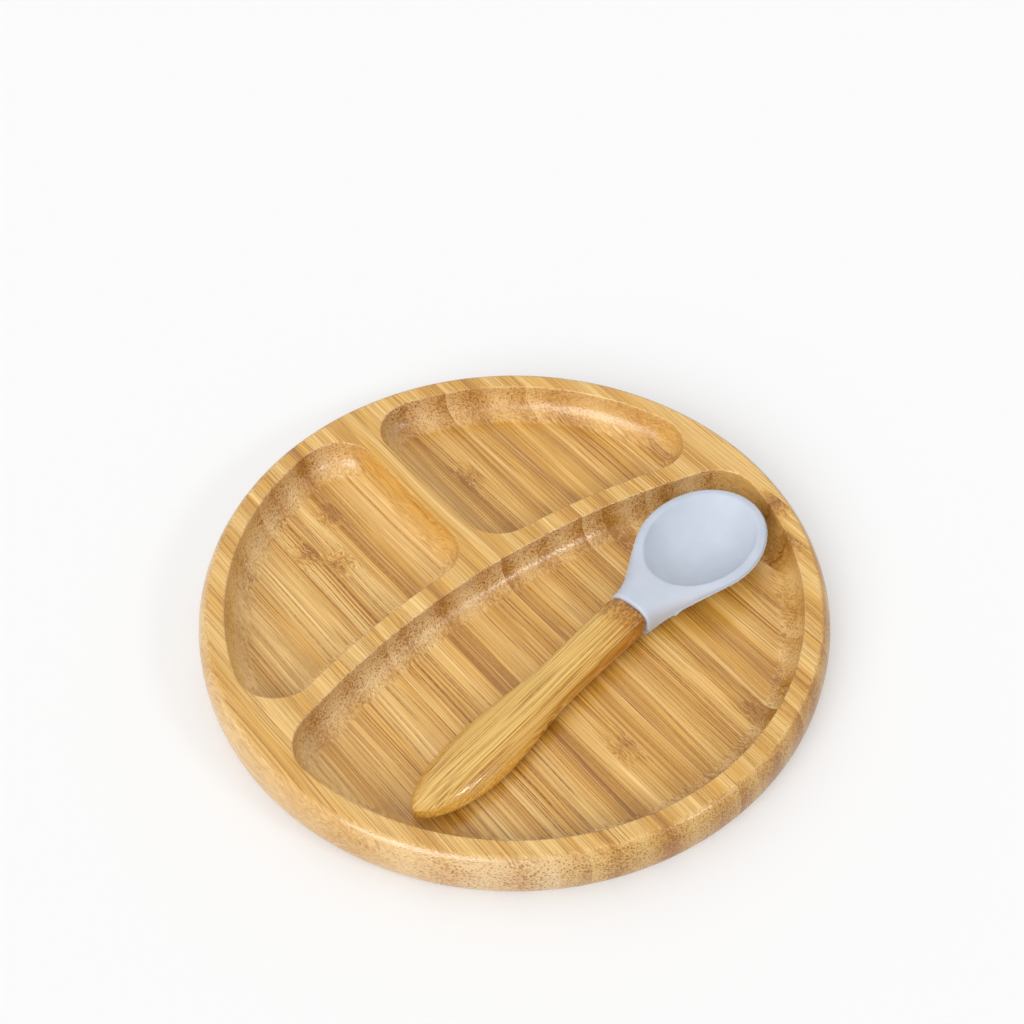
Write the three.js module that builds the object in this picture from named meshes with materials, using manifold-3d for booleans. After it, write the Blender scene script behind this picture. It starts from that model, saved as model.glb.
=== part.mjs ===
// A divided bamboo plate for a child, with the bamboo and silicone spoon that lies in it.
// Millimetres, +Z up. The origin is the middle of the plate's underside, and the grain runs along Y.
// The plate is a board of bamboo strips glued edge to edge, turned round and milled into three pockets.
// The spoon is a carved bamboo handle whose tongue is pushed into the socket of a moulded silicone head.
import * as THREE from 'three';
import { mergeVertices } from 'three/addons/utils/BufferGeometryUtils.js';
import Module from 'manifold-3d';

const wasm = await Module();
wasm.setup();

// Plate
const PLATE_DIAMETER = 180;
const PLATE_HEIGHT = 16;
const SIDE_BULGE = 2.6; // how far the side swells out past the top and bottom edges
const SIDE_POWER = 2.6; // how flat the middle of the side is: 2 is a round barrel
const STRIP_WIDTH = 7.2; // stock width of one bamboo strip
const GLUE_LINE = 0.1; // gap between two strips

// Pockets
const RIM_WIDTH = 5.4; // flat rim, from the top edge to the pockets
const POCKET_DEPTH = 9.5;
const CORNER_RADIUS = 12; // pocket corners, seen from above
const FLOOR_FILLET = 7; // between a pocket's wall and its floor
const DIVIDER_WIDTH = 6.2;
const DIVIDER_RADIUS = 245; // curved divider, on its front edge
const DIVIDER_CREST = 10.6; // where that edge crosses the middle of the plate
const CROSS_DIVIDER_SHIFT = 1.7; // straight divider's middle, to the right of the plate's middle

// Spoon handle
const HANDLE_LENGTH = 87;
const BUTT_LENGTH = 25; // from the tip to the widest place
const BUTT_WIDTH = 18.2;
const BUTT_THICKNESS = 8.6;
const TIP_RISE = 3; // underside of the tip, above the widest place's underside
const TIP_DROP = 1.6; // top of the tip, below the widest place's top
const TIP_BLUNT = 0.4; // what is rounded off the point
const TIP_POWER = 0.66; // how full the outline of the tip is: 1 is pointed, 0.5 is round
const WAIST_AT = 58; // from the tip to the narrowest place
const WAIST_WIDTH = 12.4;
const NECK_WIDTH = 13.4;
const NECK_THICKNESS = 10.4;
const NECK_LIFT = 0.9; // underside of the neck, above the butt's underside
const HANDLE_SQUARENESS = 2.6; // of a section across the handle: 2 is an ellipse, more is squarer

// Spoon head
const TONGUE_LENGTH = 11;
const TONGUE_WIDTH = 7.5;
const TONGUE_THICKNESS = 4.4;
const SOCKET_CLEARANCE = 0.3;
const COLLAR = 0.4; // how far the silicone stands proud of the handle at the seam
const SOCKET_END_WALL = 1.5; // silicone between the socket and the bowl
const BOWL_LENGTH = 39;
const BOWL_WIDTH = 29;
const BOWL_DEPTH = 7.5;
const BOWL_WALL = 4; // silicone under the bowl
const LIP = 2.9; // flat edge around the bowl
const LIP_THICKNESS = 2.4; // from the rim of the bowl to the widest line of the head
const HEAD_SQUARENESS = 2.2;

// Where the spoon lies
const SPOON_TURN = 9.2; // degrees from the direction across the strips
const SPOON_ASIDE = 29; // from the plate's middle to the spoon's long axis
const REST_GAP = 0.3; // between the spoon and what it lies on

// Fineness of the round shapes
const CHORD_ERROR = 0.08;
const LATHE_SEGMENTS = 96;
const SIDE_LEVELS = 6;
const FILLET_STEPS = 4;
const SECTION_POINTS = 18;
const OVERSHOOT = 1; // how far a cutter stands out of what it cuts

const BAMBOO_TONES = ['#d9a95c', '#cf9a4f', '#e0b56c', '#c28c46', '#d4a256'];
const HANDLE_TONE = '#cf9a3c';
const SILICONE_TONE = '#c3cbdb';

const plateRadius = PLATE_DIAMETER / 2;
const topRadius = plateRadius - SIDE_BULGE;
const pocketRadius = topRadius - RIM_WIDTH;
const floorHeight = PLATE_HEIGHT - POCKET_DEPTH;
const floorFillet = Math.min(FLOOR_FILLET, POCKET_DEPTH, CORNER_RADIUS);
const dividerCentre = new THREE.Vector2(0, DIVIDER_CREST - DIVIDER_RADIUS);

// Solids and meshes

function toSolid(geometry) {
  const bare = geometry.clone();
  bare.deleteAttribute('normal');
  bare.deleteAttribute('uv');
  const merged = mergeVertices(bare);
  const index = merged.index.array;
  const triVerts = [];
  for (let i = 0; i < index.length; i += 3) {
    const [a, b, c] = index.subarray(i, i + 3);
    if (a !== b && b !== c && c !== a) triVerts.push(a, b, c);
  }
  return new wasm.Manifold(new wasm.Mesh({
    numProp: 3,
    vertProperties: merged.attributes.position.array,
    triVerts: Uint32Array.from(triVerts),
  }));
}

function toMesh(solid, name, colour, roughness) {
  const { vertProperties, triVerts } = solid.getMesh();
  const geometry = new THREE.BufferGeometry();
  geometry.setAttribute('position', new THREE.BufferAttribute(vertProperties, 3));
  geometry.setIndex(new THREE.BufferAttribute(triVerts, 1));
  geometry.computeVertexNormals();
  const material = new THREE.MeshStandardMaterial({ color: colour, roughness, metalness: 0 });
  const mesh = new THREE.Mesh(geometry, material);
  mesh.name = name;
  return mesh;
}

// A closed skin over rings of points, each ring turning anticlockwise about the way the rings advance.
function loft(rings) {
  const count = rings[0].length;
  const points = rings.flat();
  const index = [];
  for (let start = 0; start < points.length - count; start += count) {
    for (let i = 0; i < count; i++) {
      const a = start + i;
      const b = start + (i + 1) % count;
      index.push(a, b, b + count, a, b + count, a + count);
    }
  }
  const lastStart = points.length - count;
  for (const start of [0, lastStart]) {
    const centre = new THREE.Vector3();
    for (let i = 0; i < count; i++) centre.addScaledVector(points[start + i], 1 / count);
    const middle = points.push(centre) - 1;
    for (let i = 0; i < count; i++) {
      const pair = [start + i, start + (i + 1) % count];
      if (start === 0) pair.reverse();
      index.push(middle, ...pair);
    }
  }
  return new THREE.BufferGeometry().setFromPoints(points).setIndex(index);
}

// Plate blank: a disc with a swelling side

function plateBlank() {
  const profile = [new THREE.Vector2(0, 0)];
  for (let level = 0; level <= SIDE_LEVELS; level++) {
    const height = level / SIDE_LEVELS;
    const swell = 1 - Math.abs(2 * height - 1) ** SIDE_POWER;
    profile.push(new THREE.Vector2(topRadius + SIDE_BULGE * swell, PLATE_HEIGHT * height));
  }
  profile.push(new THREE.Vector2(0, PLATE_HEIGHT));
  return new THREE.LatheGeometry(profile, LATHE_SEGMENTS).rotateX(Math.PI / 2);
}

// Pockets: each outline is a chain of tangent arcs, anticlockwise. Insetting the outline by some
// distance adds that distance to an arc's radius where grows is 1 and takes it off where grows is -1.

const angleOf = (vector) => Math.atan2(vector.y, vector.x);
const angleFrom = (from, to) => Math.atan2(to.y - from.y, to.x - from.x);

function arc(centre, radius, grows, from, to) {
  const step = 2 * Math.acos(1 - CHORD_ERROR / radius);
  const steps = Math.max(1, Math.ceil(Math.abs(to - from) / step));
  return { centre, radius, grows, from, to, steps };
}

function outline(arcs, inset) {
  return arcs.flatMap(({ centre, radius, grows, from, to, steps }) => (
    Array.from({ length: steps + 1 }, (_, i) => {
      const angle = from + (to - from) * (i / steps);
      const reach = radius + grows * inset;
      return new THREE.Vector2(centre.x + reach * Math.cos(angle), centre.y + reach * Math.sin(angle));
    })
  ));
}

// The right-hand point that lies at one distance from the plate's middle and at another from the
// curved divider's centre.
function cornerCentre(fromMiddle, fromDivider) {
  const y = (fromMiddle ** 2 - fromDivider ** 2 + dividerCentre.y ** 2) / (2 * dividerCentre.y);
  return new THREE.Vector2(Math.sqrt(fromMiddle ** 2 - y ** 2), y);
}

function frontPocket() {
  const middle = new THREE.Vector2();
  const right = cornerCentre(pocketRadius - CORNER_RADIUS, DIVIDER_RADIUS - CORNER_RADIUS);
  const left = new THREE.Vector2(-right.x, right.y);
  const rightFromDivider = angleFrom(dividerCentre, right);
  const leftFromDivider = angleFrom(dividerCentre, left);
  const leftTurn = angleOf(left) + (angleOf(left) < 0 ? 2 * Math.PI : 0);
  return [
    arc(middle, pocketRadius, -1, leftTurn - 2 * Math.PI, angleOf(right)),
    arc(right, CORNER_RADIUS, -1, angleOf(right), rightFromDivider),
    arc(dividerCentre, DIVIDER_RADIUS, -1, rightFromDivider, leftFromDivider),
    arc(left, CORNER_RADIUS, -1, leftFromDivider, leftTurn),
  ];
}

// The right-hand back pocket, whose straight wall stands at wallX.
function backPocket(wallX) {
  const middle = new THREE.Vector2();
  const dividerBack = DIVIDER_RADIUS + DIVIDER_WIDTH;
  const reach = pocketRadius - CORNER_RADIUS;
  const inner = wallX + CORNER_RADIUS;
  const outer = cornerCentre(reach, dividerBack + CORNER_RADIUS);
  const back = new THREE.Vector2(inner, Math.sqrt(reach ** 2 - inner ** 2));
  const rise = Math.sqrt((dividerBack + CORNER_RADIUS) ** 2 - inner ** 2);
  const front = new THREE.Vector2(inner, dividerCentre.y + rise);
  return [
    arc(middle, pocketRadius, -1, angleOf(outer), angleOf(back)),
    arc(back, CORNER_RADIUS, -1, angleOf(back), Math.PI),
    arc(front, CORNER_RADIUS, -1, Math.PI, angleFrom(front, dividerCentre) + 2 * Math.PI),
    arc(dividerCentre, dividerBack, 1, angleFrom(dividerCentre, front), angleFrom(dividerCentre, outer)),
    arc(outer, CORNER_RADIUS, -1, angleFrom(outer, dividerCentre), angleOf(outer)),
  ];
}

// The cutter of a pocket: its floor, the fillet that rises into its wall, and the wall.
function pocketCutter(arcs, mirrored) {
  const levels = [];
  for (let step = 0; step <= FILLET_STEPS; step++) {
    const angle = (Math.PI / 2) * (step / FILLET_STEPS);
    const inset = floorFillet * (1 - Math.sin(angle));
    levels.push([inset, floorHeight + floorFillet * (1 - Math.cos(angle))]);
  }
  levels.push([0, PLATE_HEIGHT + OVERSHOOT]);
  const rings = levels.map(([inset, z]) => {
    const ring = outline(arcs, inset).map((p) => new THREE.Vector3(mirrored ? -p.x : p.x, p.y, z));
    return mirrored ? ring.reverse() : ring;
  });
  return toSolid(loft(rings));
}

function milledPlate() {
  const halfDivider = DIVIDER_WIDTH / 2;
  return toSolid(plateBlank())
    .subtract(pocketCutter(frontPocket(), false))
    .subtract(pocketCutter(backPocket(halfDivider + CROSS_DIVIDER_SHIFT), false))
    .subtract(pocketCutter(backPocket(halfDivider - CROSS_DIVIDER_SHIFT), true));
}

// Strips: a middle one and as many on each side as the board needs. The two outermost are as wide as
// what is left of the board.
function strips(plate) {
  const perSide = Math.round((PLATE_DIAMETER / STRIP_WIDTH - 1) / 2);
  const meshes = [];
  for (let k = -perSide; k <= perSide; k++) {
    const overLeft = k === -perSide ? OVERSHOOT : 0;
    const overRight = k === perSide ? OVERSHOOT : 0;
    const left = (overLeft ? -plateRadius : (k - 0.5) * STRIP_WIDTH + GLUE_LINE / 2) - overLeft;
    const right = (overRight ? plateRadius : (k + 0.5) * STRIP_WIDTH - GLUE_LINE / 2) + overRight;
    const slab = new THREE.BoxGeometry(
      right - left,
      PLATE_DIAMETER + 2 * OVERSHOOT,
      PLATE_HEIGHT + 2 * OVERSHOOT,
    ).translate((left + right) / 2, 0, PLATE_HEIGHT / 2);
    const number = k + perSide + 1;
    const name = `bamboo_strip_${String(number).padStart(2, '0')}`;
    const tone = BAMBOO_TONES[number % BAMBOO_TONES.length];
    meshes.push(toMesh(plate.intersect(toSolid(slab)), name, tone, 0.5));
  }
  return meshes;
}

// Spoon: along X from the tip of the handle, with the butt's underside at height 0

const shoulder = HANDLE_LENGTH;
const seam = shoulder + SOCKET_CLEARANCE;
const neckMiddle = NECK_LIFT + NECK_THICKNESS / 2;
const bowlStart = shoulder + TONGUE_LENGTH + SOCKET_CLEARANCE + SOCKET_END_WALL;
const bowlMiddle = bowlStart + BOWL_LENGTH / 2;
const spoonLength = bowlStart + BOWL_LENGTH + LIP;
const headWidth = BOWL_WIDTH + 2 * LIP;
const headRim = BOWL_DEPTH + BOWL_WALL;

// A smooth climb from one value to another as x goes from start to end.
function ease(x, start, end, from, to) {
  const t = THREE.MathUtils.clamp((x - start) / (end - start), 0, 1);
  return from + (to - from) * (1 - Math.cos(Math.PI * t)) / 2;
}

// A rounded section across the spoon.
function section(x, halfWidth, bottom, widest, top, squareness) {
  return Array.from({ length: SECTION_POINTS }, (_, i) => {
    const angle = 2 * Math.PI * (i / SECTION_POINTS);
    const across = Math.sign(Math.cos(angle)) * Math.abs(Math.cos(angle)) ** (2 / squareness);
    const up = Math.sign(Math.sin(angle)) * Math.abs(Math.sin(angle)) ** (2 / squareness);
    const z = widest + up * (up > 0 ? top - widest : widest - bottom);
    return new THREE.Vector3(x, across * halfWidth, z);
  });
}

// The starts of some stretches from one place to another, closer together at the first with a power over 1.
const spaced = (from, to, count, power = 1) => (
  Array.from({ length: count }, (_, i) => from + (to - from) * (i / count) ** power)
);

function handleSection(x) {
  const butt = Math.min(1, x / BUTT_LENGTH);
  const nose = (1 - (1 - butt) ** 2) ** TIP_POWER;
  const swelling = ease(x, BUTT_LENGTH, WAIST_AT, BUTT_WIDTH, WAIST_WIDTH);
  const width = nose * ease(x, WAIST_AT, shoulder, swelling, NECK_WIDTH);
  const rise = TIP_RISE * (1 - butt) ** 2;
  const drop = TIP_DROP * (1 - butt) ** 2;
  const bottom = ease(x, BUTT_LENGTH, shoulder, rise, NECK_LIFT);
  const top = ease(x, BUTT_LENGTH, shoulder, BUTT_THICKNESS - drop, NECK_LIFT + NECK_THICKNESS);
  return section(x, width / 2, bottom, (bottom + top) / 2, top, HANDLE_SQUARENESS);
}

function spoonHandle() {
  const stations = [
    ...spaced(TIP_BLUNT, BUTT_LENGTH, 5, 1.6),
    ...spaced(BUTT_LENGTH, WAIST_AT, 3),
    ...spaced(WAIST_AT, shoulder, 3),
    shoulder,
  ];
  const tongue = new THREE.BoxGeometry(TONGUE_LENGTH + OVERSHOOT, TONGUE_WIDTH, TONGUE_THICKNESS)
    .translate(shoulder + (TONGUE_LENGTH - OVERSHOOT) / 2, 0, neckMiddle);
  return toSolid(loft(stations.map(handleSection))).add(toSolid(tongue));
}

function headSection(x) {
  const flared = ease(x, seam, bowlMiddle, NECK_WIDTH + 2 * COLLAR, headWidth) / 2;
  const past = Math.max(0, (x - bowlMiddle) / (spoonLength - bowlMiddle));
  const closing = Math.sqrt(Math.max(0, 1 - past ** 2));
  const top = ease(x, seam, bowlStart, NECK_LIFT + NECK_THICKNESS + COLLAR, headRim);
  const widest = ease(x, seam, bowlStart, neckMiddle, headRim - LIP_THICKNESS);
  const bottom = ease(x, seam, bowlMiddle, NECK_LIFT - COLLAR, 0);
  const belly = widest - (widest - bottom) * closing;
  const squareness = ease(x, seam, bowlStart, HANDLE_SQUARENESS, HEAD_SQUARENESS);
  return section(x, flared * closing, belly, widest, top, squareness);
}

function spoonHead() {
  const roundEnd = spaced(0, Math.PI / 2, 7).map((turn) => (
    bowlMiddle + (spoonLength - bowlMiddle) * Math.sin(turn)
  ));
  const stations = [...spaced(seam, bowlMiddle, 6), ...roundEnd, spoonLength - TIP_BLUNT / 2];
  const bowl = new THREE.SphereGeometry(1, 24, 14)
    .scale(BOWL_LENGTH / 2, BOWL_WIDTH / 2, BOWL_DEPTH)
    .translate(bowlMiddle, 0, headRim);
  const socketLength = TONGUE_LENGTH + SOCKET_CLEARANCE + OVERSHOOT;
  const socket = new THREE.BoxGeometry(
    socketLength,
    TONGUE_WIDTH + 2 * SOCKET_CLEARANCE,
    TONGUE_THICKNESS + 2 * SOCKET_CLEARANCE,
  ).translate(shoulder - OVERSHOOT + socketLength / 2, 0, neckMiddle);
  return toSolid(loft(stations.map(headSection))).subtract(toSolid(bowl)).subtract(toSolid(socket));
}

// How far the upper meshes have to rise to stand clear of the lower ones, found by looking straight
// down from the upper meshes' corners and straight up from the lower ones' corners.
function riseToClear(uppers, lowers) {
  const ray = new THREE.Raycaster();
  const corner = new THREE.Vector3();
  const far = 10 * PLATE_DIAMETER;
  let rise = -Infinity;
  const look = (meshes, targets, direction) => {
    for (const mesh of meshes) {
      const positions = mesh.geometry.attributes.position;
      for (let i = 0; i < positions.count; i++) {
        corner.fromBufferAttribute(positions, i).applyMatrix4(mesh.matrixWorld);
        ray.set(new THREE.Vector3(corner.x, corner.y, -direction * far), new THREE.Vector3(0, 0, direction));
        const [hit] = ray.intersectObjects(targets);
        if (hit) rise = Math.max(rise, direction * (corner.z - hit.point.z));
      }
    }
  };
  look(uppers, lowers, -1);
  look(lowers, uppers, 1);
  return rise;
}

// Assembly

const plate = milledPlate();
const plateGroup = new THREE.Group();
plateGroup.add(...strips(plate));

const spoonGroup = new THREE.Group();
spoonGroup.add(toMesh(spoonHandle(), 'spoon_handle', HANDLE_TONE, 0.45));
spoonGroup.add(toMesh(spoonHead(), 'spoon_head', SILICONE_TONE, 0.55));
const turn = THREE.MathUtils.degToRad(SPOON_TURN);
const along = new THREE.Vector3(Math.cos(turn), Math.sin(turn), 0);
const aside = new THREE.Vector3(along.y, -along.x, 0);
spoonGroup.rotation.z = turn;
spoonGroup.position.copy(aside).multiplyScalar(SPOON_ASIDE).addScaledVector(along, -spoonLength / 2);
spoonGroup.updateMatrixWorld(true);
const wholePlate = toMesh(plate, 'plate', BAMBOO_TONES[0], 0.5);
spoonGroup.position.z = riseToClear(spoonGroup.children, [wholePlate]) + REST_GAP;

const model = new THREE.Group();
model.add(plateGroup, spoonGroup);

export default model;
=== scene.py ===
import math

import bmesh
import bpy
import numpy as np
from bpy.props import FloatProperty, FloatVectorProperty, PointerProperty
from mathutils.geometry import tessellate_polygon
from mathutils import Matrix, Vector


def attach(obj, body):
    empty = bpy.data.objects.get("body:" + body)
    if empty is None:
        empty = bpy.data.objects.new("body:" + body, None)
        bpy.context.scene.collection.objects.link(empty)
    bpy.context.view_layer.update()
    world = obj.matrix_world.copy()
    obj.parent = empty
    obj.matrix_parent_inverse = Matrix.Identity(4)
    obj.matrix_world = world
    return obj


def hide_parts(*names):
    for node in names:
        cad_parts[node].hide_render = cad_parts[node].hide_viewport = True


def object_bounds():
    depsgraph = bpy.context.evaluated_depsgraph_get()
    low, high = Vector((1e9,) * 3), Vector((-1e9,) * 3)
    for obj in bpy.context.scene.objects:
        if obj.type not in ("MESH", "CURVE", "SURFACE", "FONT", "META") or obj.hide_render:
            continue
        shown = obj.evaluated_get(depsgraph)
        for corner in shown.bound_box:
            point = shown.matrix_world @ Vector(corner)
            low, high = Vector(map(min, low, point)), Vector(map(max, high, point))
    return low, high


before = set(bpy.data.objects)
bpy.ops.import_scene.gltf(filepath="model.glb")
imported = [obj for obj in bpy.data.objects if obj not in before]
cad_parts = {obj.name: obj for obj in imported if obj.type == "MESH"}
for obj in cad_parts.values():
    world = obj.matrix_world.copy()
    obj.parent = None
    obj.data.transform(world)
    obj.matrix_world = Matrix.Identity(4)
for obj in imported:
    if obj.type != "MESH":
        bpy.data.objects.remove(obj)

bl_info = {
    "name": "Divided bamboo plate",
    "version": (1, 0, 0),
    "blender": (4, 5, 0),
    "location": "3D View > Sidebar > Plate",
    "description": "Builds a divided bamboo plate from its glued strips, and its silicone-headed spoon",
    "category": "Add Mesh",
}

# The whole solid model's box, kept before any piece is dressed.
CAD_BOX = [[float(value) for value in corner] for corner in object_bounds()]


# Sizes and colours


def size(name, description, default):
    """A length in metres that a user may change."""
    return FloatProperty(
        name=name, description=description, default=default, min=0.0, precision=5,
        unit="LENGTH", subtype="DISTANCE",
    )


def share(name, description, default, top=1.0):
    """A plain number that a user may change."""
    return FloatProperty(name=name, description=description, default=default, min=0.0, max=top)


def bearing(name, description, degrees):
    """An angle that a user may change, given here in degrees."""
    return FloatProperty(name=name, description=description, default=math.radians(degrees), subtype="ANGLE")


def point(name, description, x, y, z):
    """A point in metres that a user may change."""
    return FloatVectorProperty(
        name=name, description=description, default=(x, y, z), size=3, subtype="XYZ", unit="LENGTH"
    )


def colour(name, description, red, green, blue):
    """A linear colour that a user may change."""
    return FloatVectorProperty(
        name=name, description=description, default=(red, green, blue, 1.0), size=4,
        min=0.0, max=1.0, subtype="COLOR",
    )


class PlateSizes(bpy.types.PropertyGroup):
    """The glued board and the pockets milled into it."""

    diameter: size("Diameter", "Across the plate at its widest", CAD_BOX[1][0] - CAD_BOX[0][0])
    height: size("Height", "From the underside to the rim", 0.016)
    side_bulge: size("Side bulge", "How far the side swells past the top edge", 0.0026)
    side_power: share("Side squareness", "Higher keeps the side straighter in the middle", 2.6, 8.0)
    strip_width: size("Strip width", "Width of one bamboo strip", 0.0072)
    rim_width: size("Rim width", "Flat rim between the top edge and a pocket", 0.0054)
    pocket_depth: size("Pocket depth", "From the rim to a pocket's floor", 0.0095)
    corner_radius: size("Corner radius", "Rounding of a pocket's corners, seen from above", 0.012)
    floor_fillet: size("Floor fillet", "Rounding between a pocket's wall and floor", 0.007)
    divider_width: size("Divider width", "Width of both dividers' flat tops", 0.0062)
    divider_radius: size("Divider radius", "Radius of the curved divider's front edge", 0.245)
    divider_crest: size("Divider crest", "Curved divider's front edge past the middle", 0.0106)
    cross_shift: size("Straight divider shift", "How far the straight divider stands off the middle", 0.0017)
    edge_round: size("Edge rounding", "Sanded rounding of the pockets' top edges", 0.0005)
    rim_round: size("Rim rounding", "Sanded rounding of the plate's outer edges", 0.0011)


class SpoonSizes(bpy.types.PropertyGroup):
    """The carved handle and the moulded head, measured from the handle's tip."""

    turn: bearing("Turn", "The spoon's turn in the pocket", 9.2)
    tip: point("Tip", "Where the tip's point under the handle lies", -0.065302, -0.0399545, 0.0067497)
    handle_length: size("Handle length", "From the tip to the silicone", 0.087)
    butt_length: size("Butt length", "From the tip to the handle's widest place", 0.025)
    butt_width: size("Butt width", "Widest place of the handle", 0.0182)
    butt_thickness: size("Butt thickness", "Thickness at the widest place", 0.0086)
    tip_rise: size("Tip rise", "How far the tip lifts off the floor", 0.003)
    tip_drop: size("Tip drop", "How far the top falls towards the tip", 0.0016)
    waist_at: size("Waist place", "From the tip to the waist", 0.058)
    waist_width: size("Waist width", "Narrowest place of the handle", 0.0124)
    neck_width: size("Neck width", "Width at the silicone", 0.0134)
    neck_thickness: size("Neck thickness", "Thickness at the silicone", 0.0104)
    neck_lift: size("Neck lift", "How far the neck stands off the floor", 0.0009)
    tongue_length: size("Tongue length", "Tongue that the silicone hides", 0.011)
    tongue_width: size("Tongue width", "Width of the tongue", 0.0075)
    tongue_thickness: size("Tongue thickness", "Thickness of the tongue", 0.0044)
    clearance: size("Clearance", "Room round the tongue", 0.0003)
    collar: size("Collar", "How far the silicone stands proud of the neck", 0.0004)
    bowl_length: size("Bowl length", "Length of the hollow", 0.039)
    bowl_width: size("Bowl width", "Width of the hollow", 0.029)
    bowl_depth: size("Bowl depth", "Depth of the hollow", 0.0075)
    bowl_wall: size("Bowl wall", "Silicone under the hollow", 0.004)
    lip: size("Lip", "Silicone round the hollow", 0.0027)
    lip_thickness: size("Lip thickness", "Height of the lip's outer edge", 0.0016)
    lip_round: size("Lip rounding", "Softness of the hollow's edge", 0.0012)
    socket_wall: size("Socket end wall", "Silicone between the socket and the bowl", 0.0015)
    parting_drop: size("Parting drop", "From the neck's middle down to the mould's parting line", 0.0022)
    neck_round: size("Neck rounding", "Length along which the neck is rounded over into the silicone", 0.0045)
    edge_curl: size("Edge curl", "How far the silicone's edge curls in at the handle", 0.0005)
    edge_length: size("Edge length", "Length of the silicone's edge that curls in", 0.0008)
    fin: size("Parting fin", "How far the mould's parting line stands out", 0.00028)
    nub: size("Parting nub", "How far the nub stands out where the mould was filled", 0.0009)
    nub_at: size("Nub place", "From the silicone's edge to the nub", 0.0098)


class Finishes(bpy.types.PropertyGroup):
    """Colours of the bamboo, the silicone and the floor."""

    bamboo_pale: colour("Pale bamboo", "Ground colour of the palest strips", 0.758, 0.478, 0.155)
    bamboo_honey: colour("Honey bamboo", "Ground colour of the middling strips", 0.620, 0.314, 0.045)
    bamboo_brown: colour("Brown bamboo", "Ground colour of the darkest strips", 0.40, 0.167, 0.017)
    bamboo_end: colour("End grain", "Paler ground where the strips are cut across", 0.675, 0.520, 0.335)
    # The outer side's two colours are painted light and painted shade: paler at the left where light falls on
    # it, browner on the rest where it lies in shade.
    side_painted_light: colour("Side, left", "Whitened end grain of the outer side's left part", 0.69, 0.63, 0.59)
    side_painted_shade: colour("Side, right", "Browned end grain of the rest of the outer side", 0.50, 0.34, 0.13)
    fibre: colour("Fibre", "Dark fibre bundles in the plate", 0.275, 0.098, 0.008)
    handle_straw: colour("Handle straw", "Palest ground of the handle", 0.735, 0.478, 0.135)
    handle_gold: colour("Handle gold", "Middling ground of the handle", 0.61, 0.295, 0.034)
    handle_amber: colour("Handle amber", "Darkest ground of the handle", 0.43, 0.145, 0.005)
    handle_fibre: colour("Handle fibre", "Fibre lines in the handle", 0.30, 0.105, 0.005)
    silicone: colour("Silicone", "The spoon's head", 0.505, 0.55, 0.63)
    silicone_dust: colour("Silicone bloom", "Paler bloom on the silicone", 0.54, 0.585, 0.665)
    floor: colour("Floor", "The pale floor", 0.88, 0.88, 0.88)


class Studio(bpy.types.PropertyGroup):
    """Camera and light."""

    eye: point("Camera", "Where the camera stands", -0.18948, -0.2365, 0.38695)
    pitch: bearing("Pitch", "How far the camera looks down", 48.19)
    yaw: bearing("Yaw", "The camera's turn from the grain", 38.70)
    lens: FloatProperty(name="Lens", description="Focal length in millimetres", default=59.17)
    shift: FloatProperty(name="Shift", description="Sideways shift of the frame", default=-0.00244)
    sky: share("Sky", "Light from all round", 0.45, 4.0)
    sky_lean: share("Sky lean", "How much brighter the sky is behind the plate", 0.65)
    left_window: share("Left window", "Strength of the soft light at the camera's left", 1.95, 10.0)
    right_window: share("Right window", "Strength of the small light at the camera's right", 0.48, 10.0)
    overhead: share("Overhead", "Strength of the soft light overhead", 0.38, 10.0)


# Each strip from left to right: tone (-1 brown to 1 pale), how much fibre shows, the side where it is
# dense (-1 left to 1 right), and the knuckle's place along the grain in metres with its strength.
STRIP_LOOKS = (
    (0.2, 0.5, 0.6, 0.020, 0.0), (0.2, 0.5, -0.6, -0.030, 0.0), (0.4, 0.5, 0.7, 0.010, 0.0),
    (0.6, 0.6, -0.6, 0.044, 0.0), (0.3, 0.6, 0.6, 0.012, 0.0), (1.0, 0.6, -0.7, -0.060, 0.0),
    (0.5, 0.6, 0.6, -0.010, 0.0), (0.5, 0.9, 0.9, 0.0545, 1.0), (0.65, 0.8, -0.6, 0.046, 1.0),
    (-0.3, 0.9, 1.0, 0.063, 0.7), (0.0, 0.6, -1.0, -0.040, 0.0), (0.3, 0.5, 0.5, -0.056, 0.8),
    (-0.1, 0.6, -0.5, 0.070, 0.0), (0.0, 0.8, -1.0, 0.012, 0.0), (0.2, 0.6, 0.6, -0.030, 0.0),
    (0.3, 0.8, -0.6, 0.049, 0.9), (-0.2, 0.8, 0.8, -0.071, 0.9), (0.1, 0.8, 0.7, 0.033, 0.0),
    (-0.3, 0.7, -0.8, 0.000, 0.7), (0.3, 0.6, 0.7, 0.020, 0.0), (0.2, 0.8, 0.8, -0.003, 0.9),
    # The strongest knuckles, on the twenty-third and twenty-fourth strips, are partly dark wood and partly
    # painted shadow of the spoon's head on the pocket's wall beside it.
    (0.5, 0.6, -0.7, 0.036, 0.0), (0.3, 0.8, 0.9, -0.035, 2.1), (0.3, 0.7, -0.5, -0.023, 2.3),
    (0.7, 0.5, 0.6, -0.010, 0.0),
)


# Shapes

# Points closer than MERGED become one and edges shorter than NO_LENGTH go, both in metres.
MERGED = 1e-6
NO_LENGTH = 1e-7
# Width in metres of the narrow flat rings that lead from a rounding into the rim or into a floor.
RIM_RING = 2e-4
FLOOR_RING = 3e-4
# Points round the plate's side, and metres between the points of a pocket's outline.
SIDE_POINTS = 420
POCKET_STEP = 0.0011
# Stations along the handle, and points round it.
HANDLE_STATIONS = 90
HANDLE_POINTS = 144
# Points along one side of the head, round its end and across its mouth, and its rings above and below.
HEAD_SIDE_POINTS = 70
HEAD_END_POINTS = 150
HEAD_MOUTH_POINTS = 44
BOWL_RINGS = 84
BELLY_RINGS = 34


def ease(x, start, end, first, last):
    """Goes from first to last between start and end along half a cosine wave, and is flat outside."""
    t = np.clip((x - start) / (end - start), 0.0, 1.0)
    return first + (last - first) * (1.0 - np.cos(np.pi * t)) / 2.0


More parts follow.
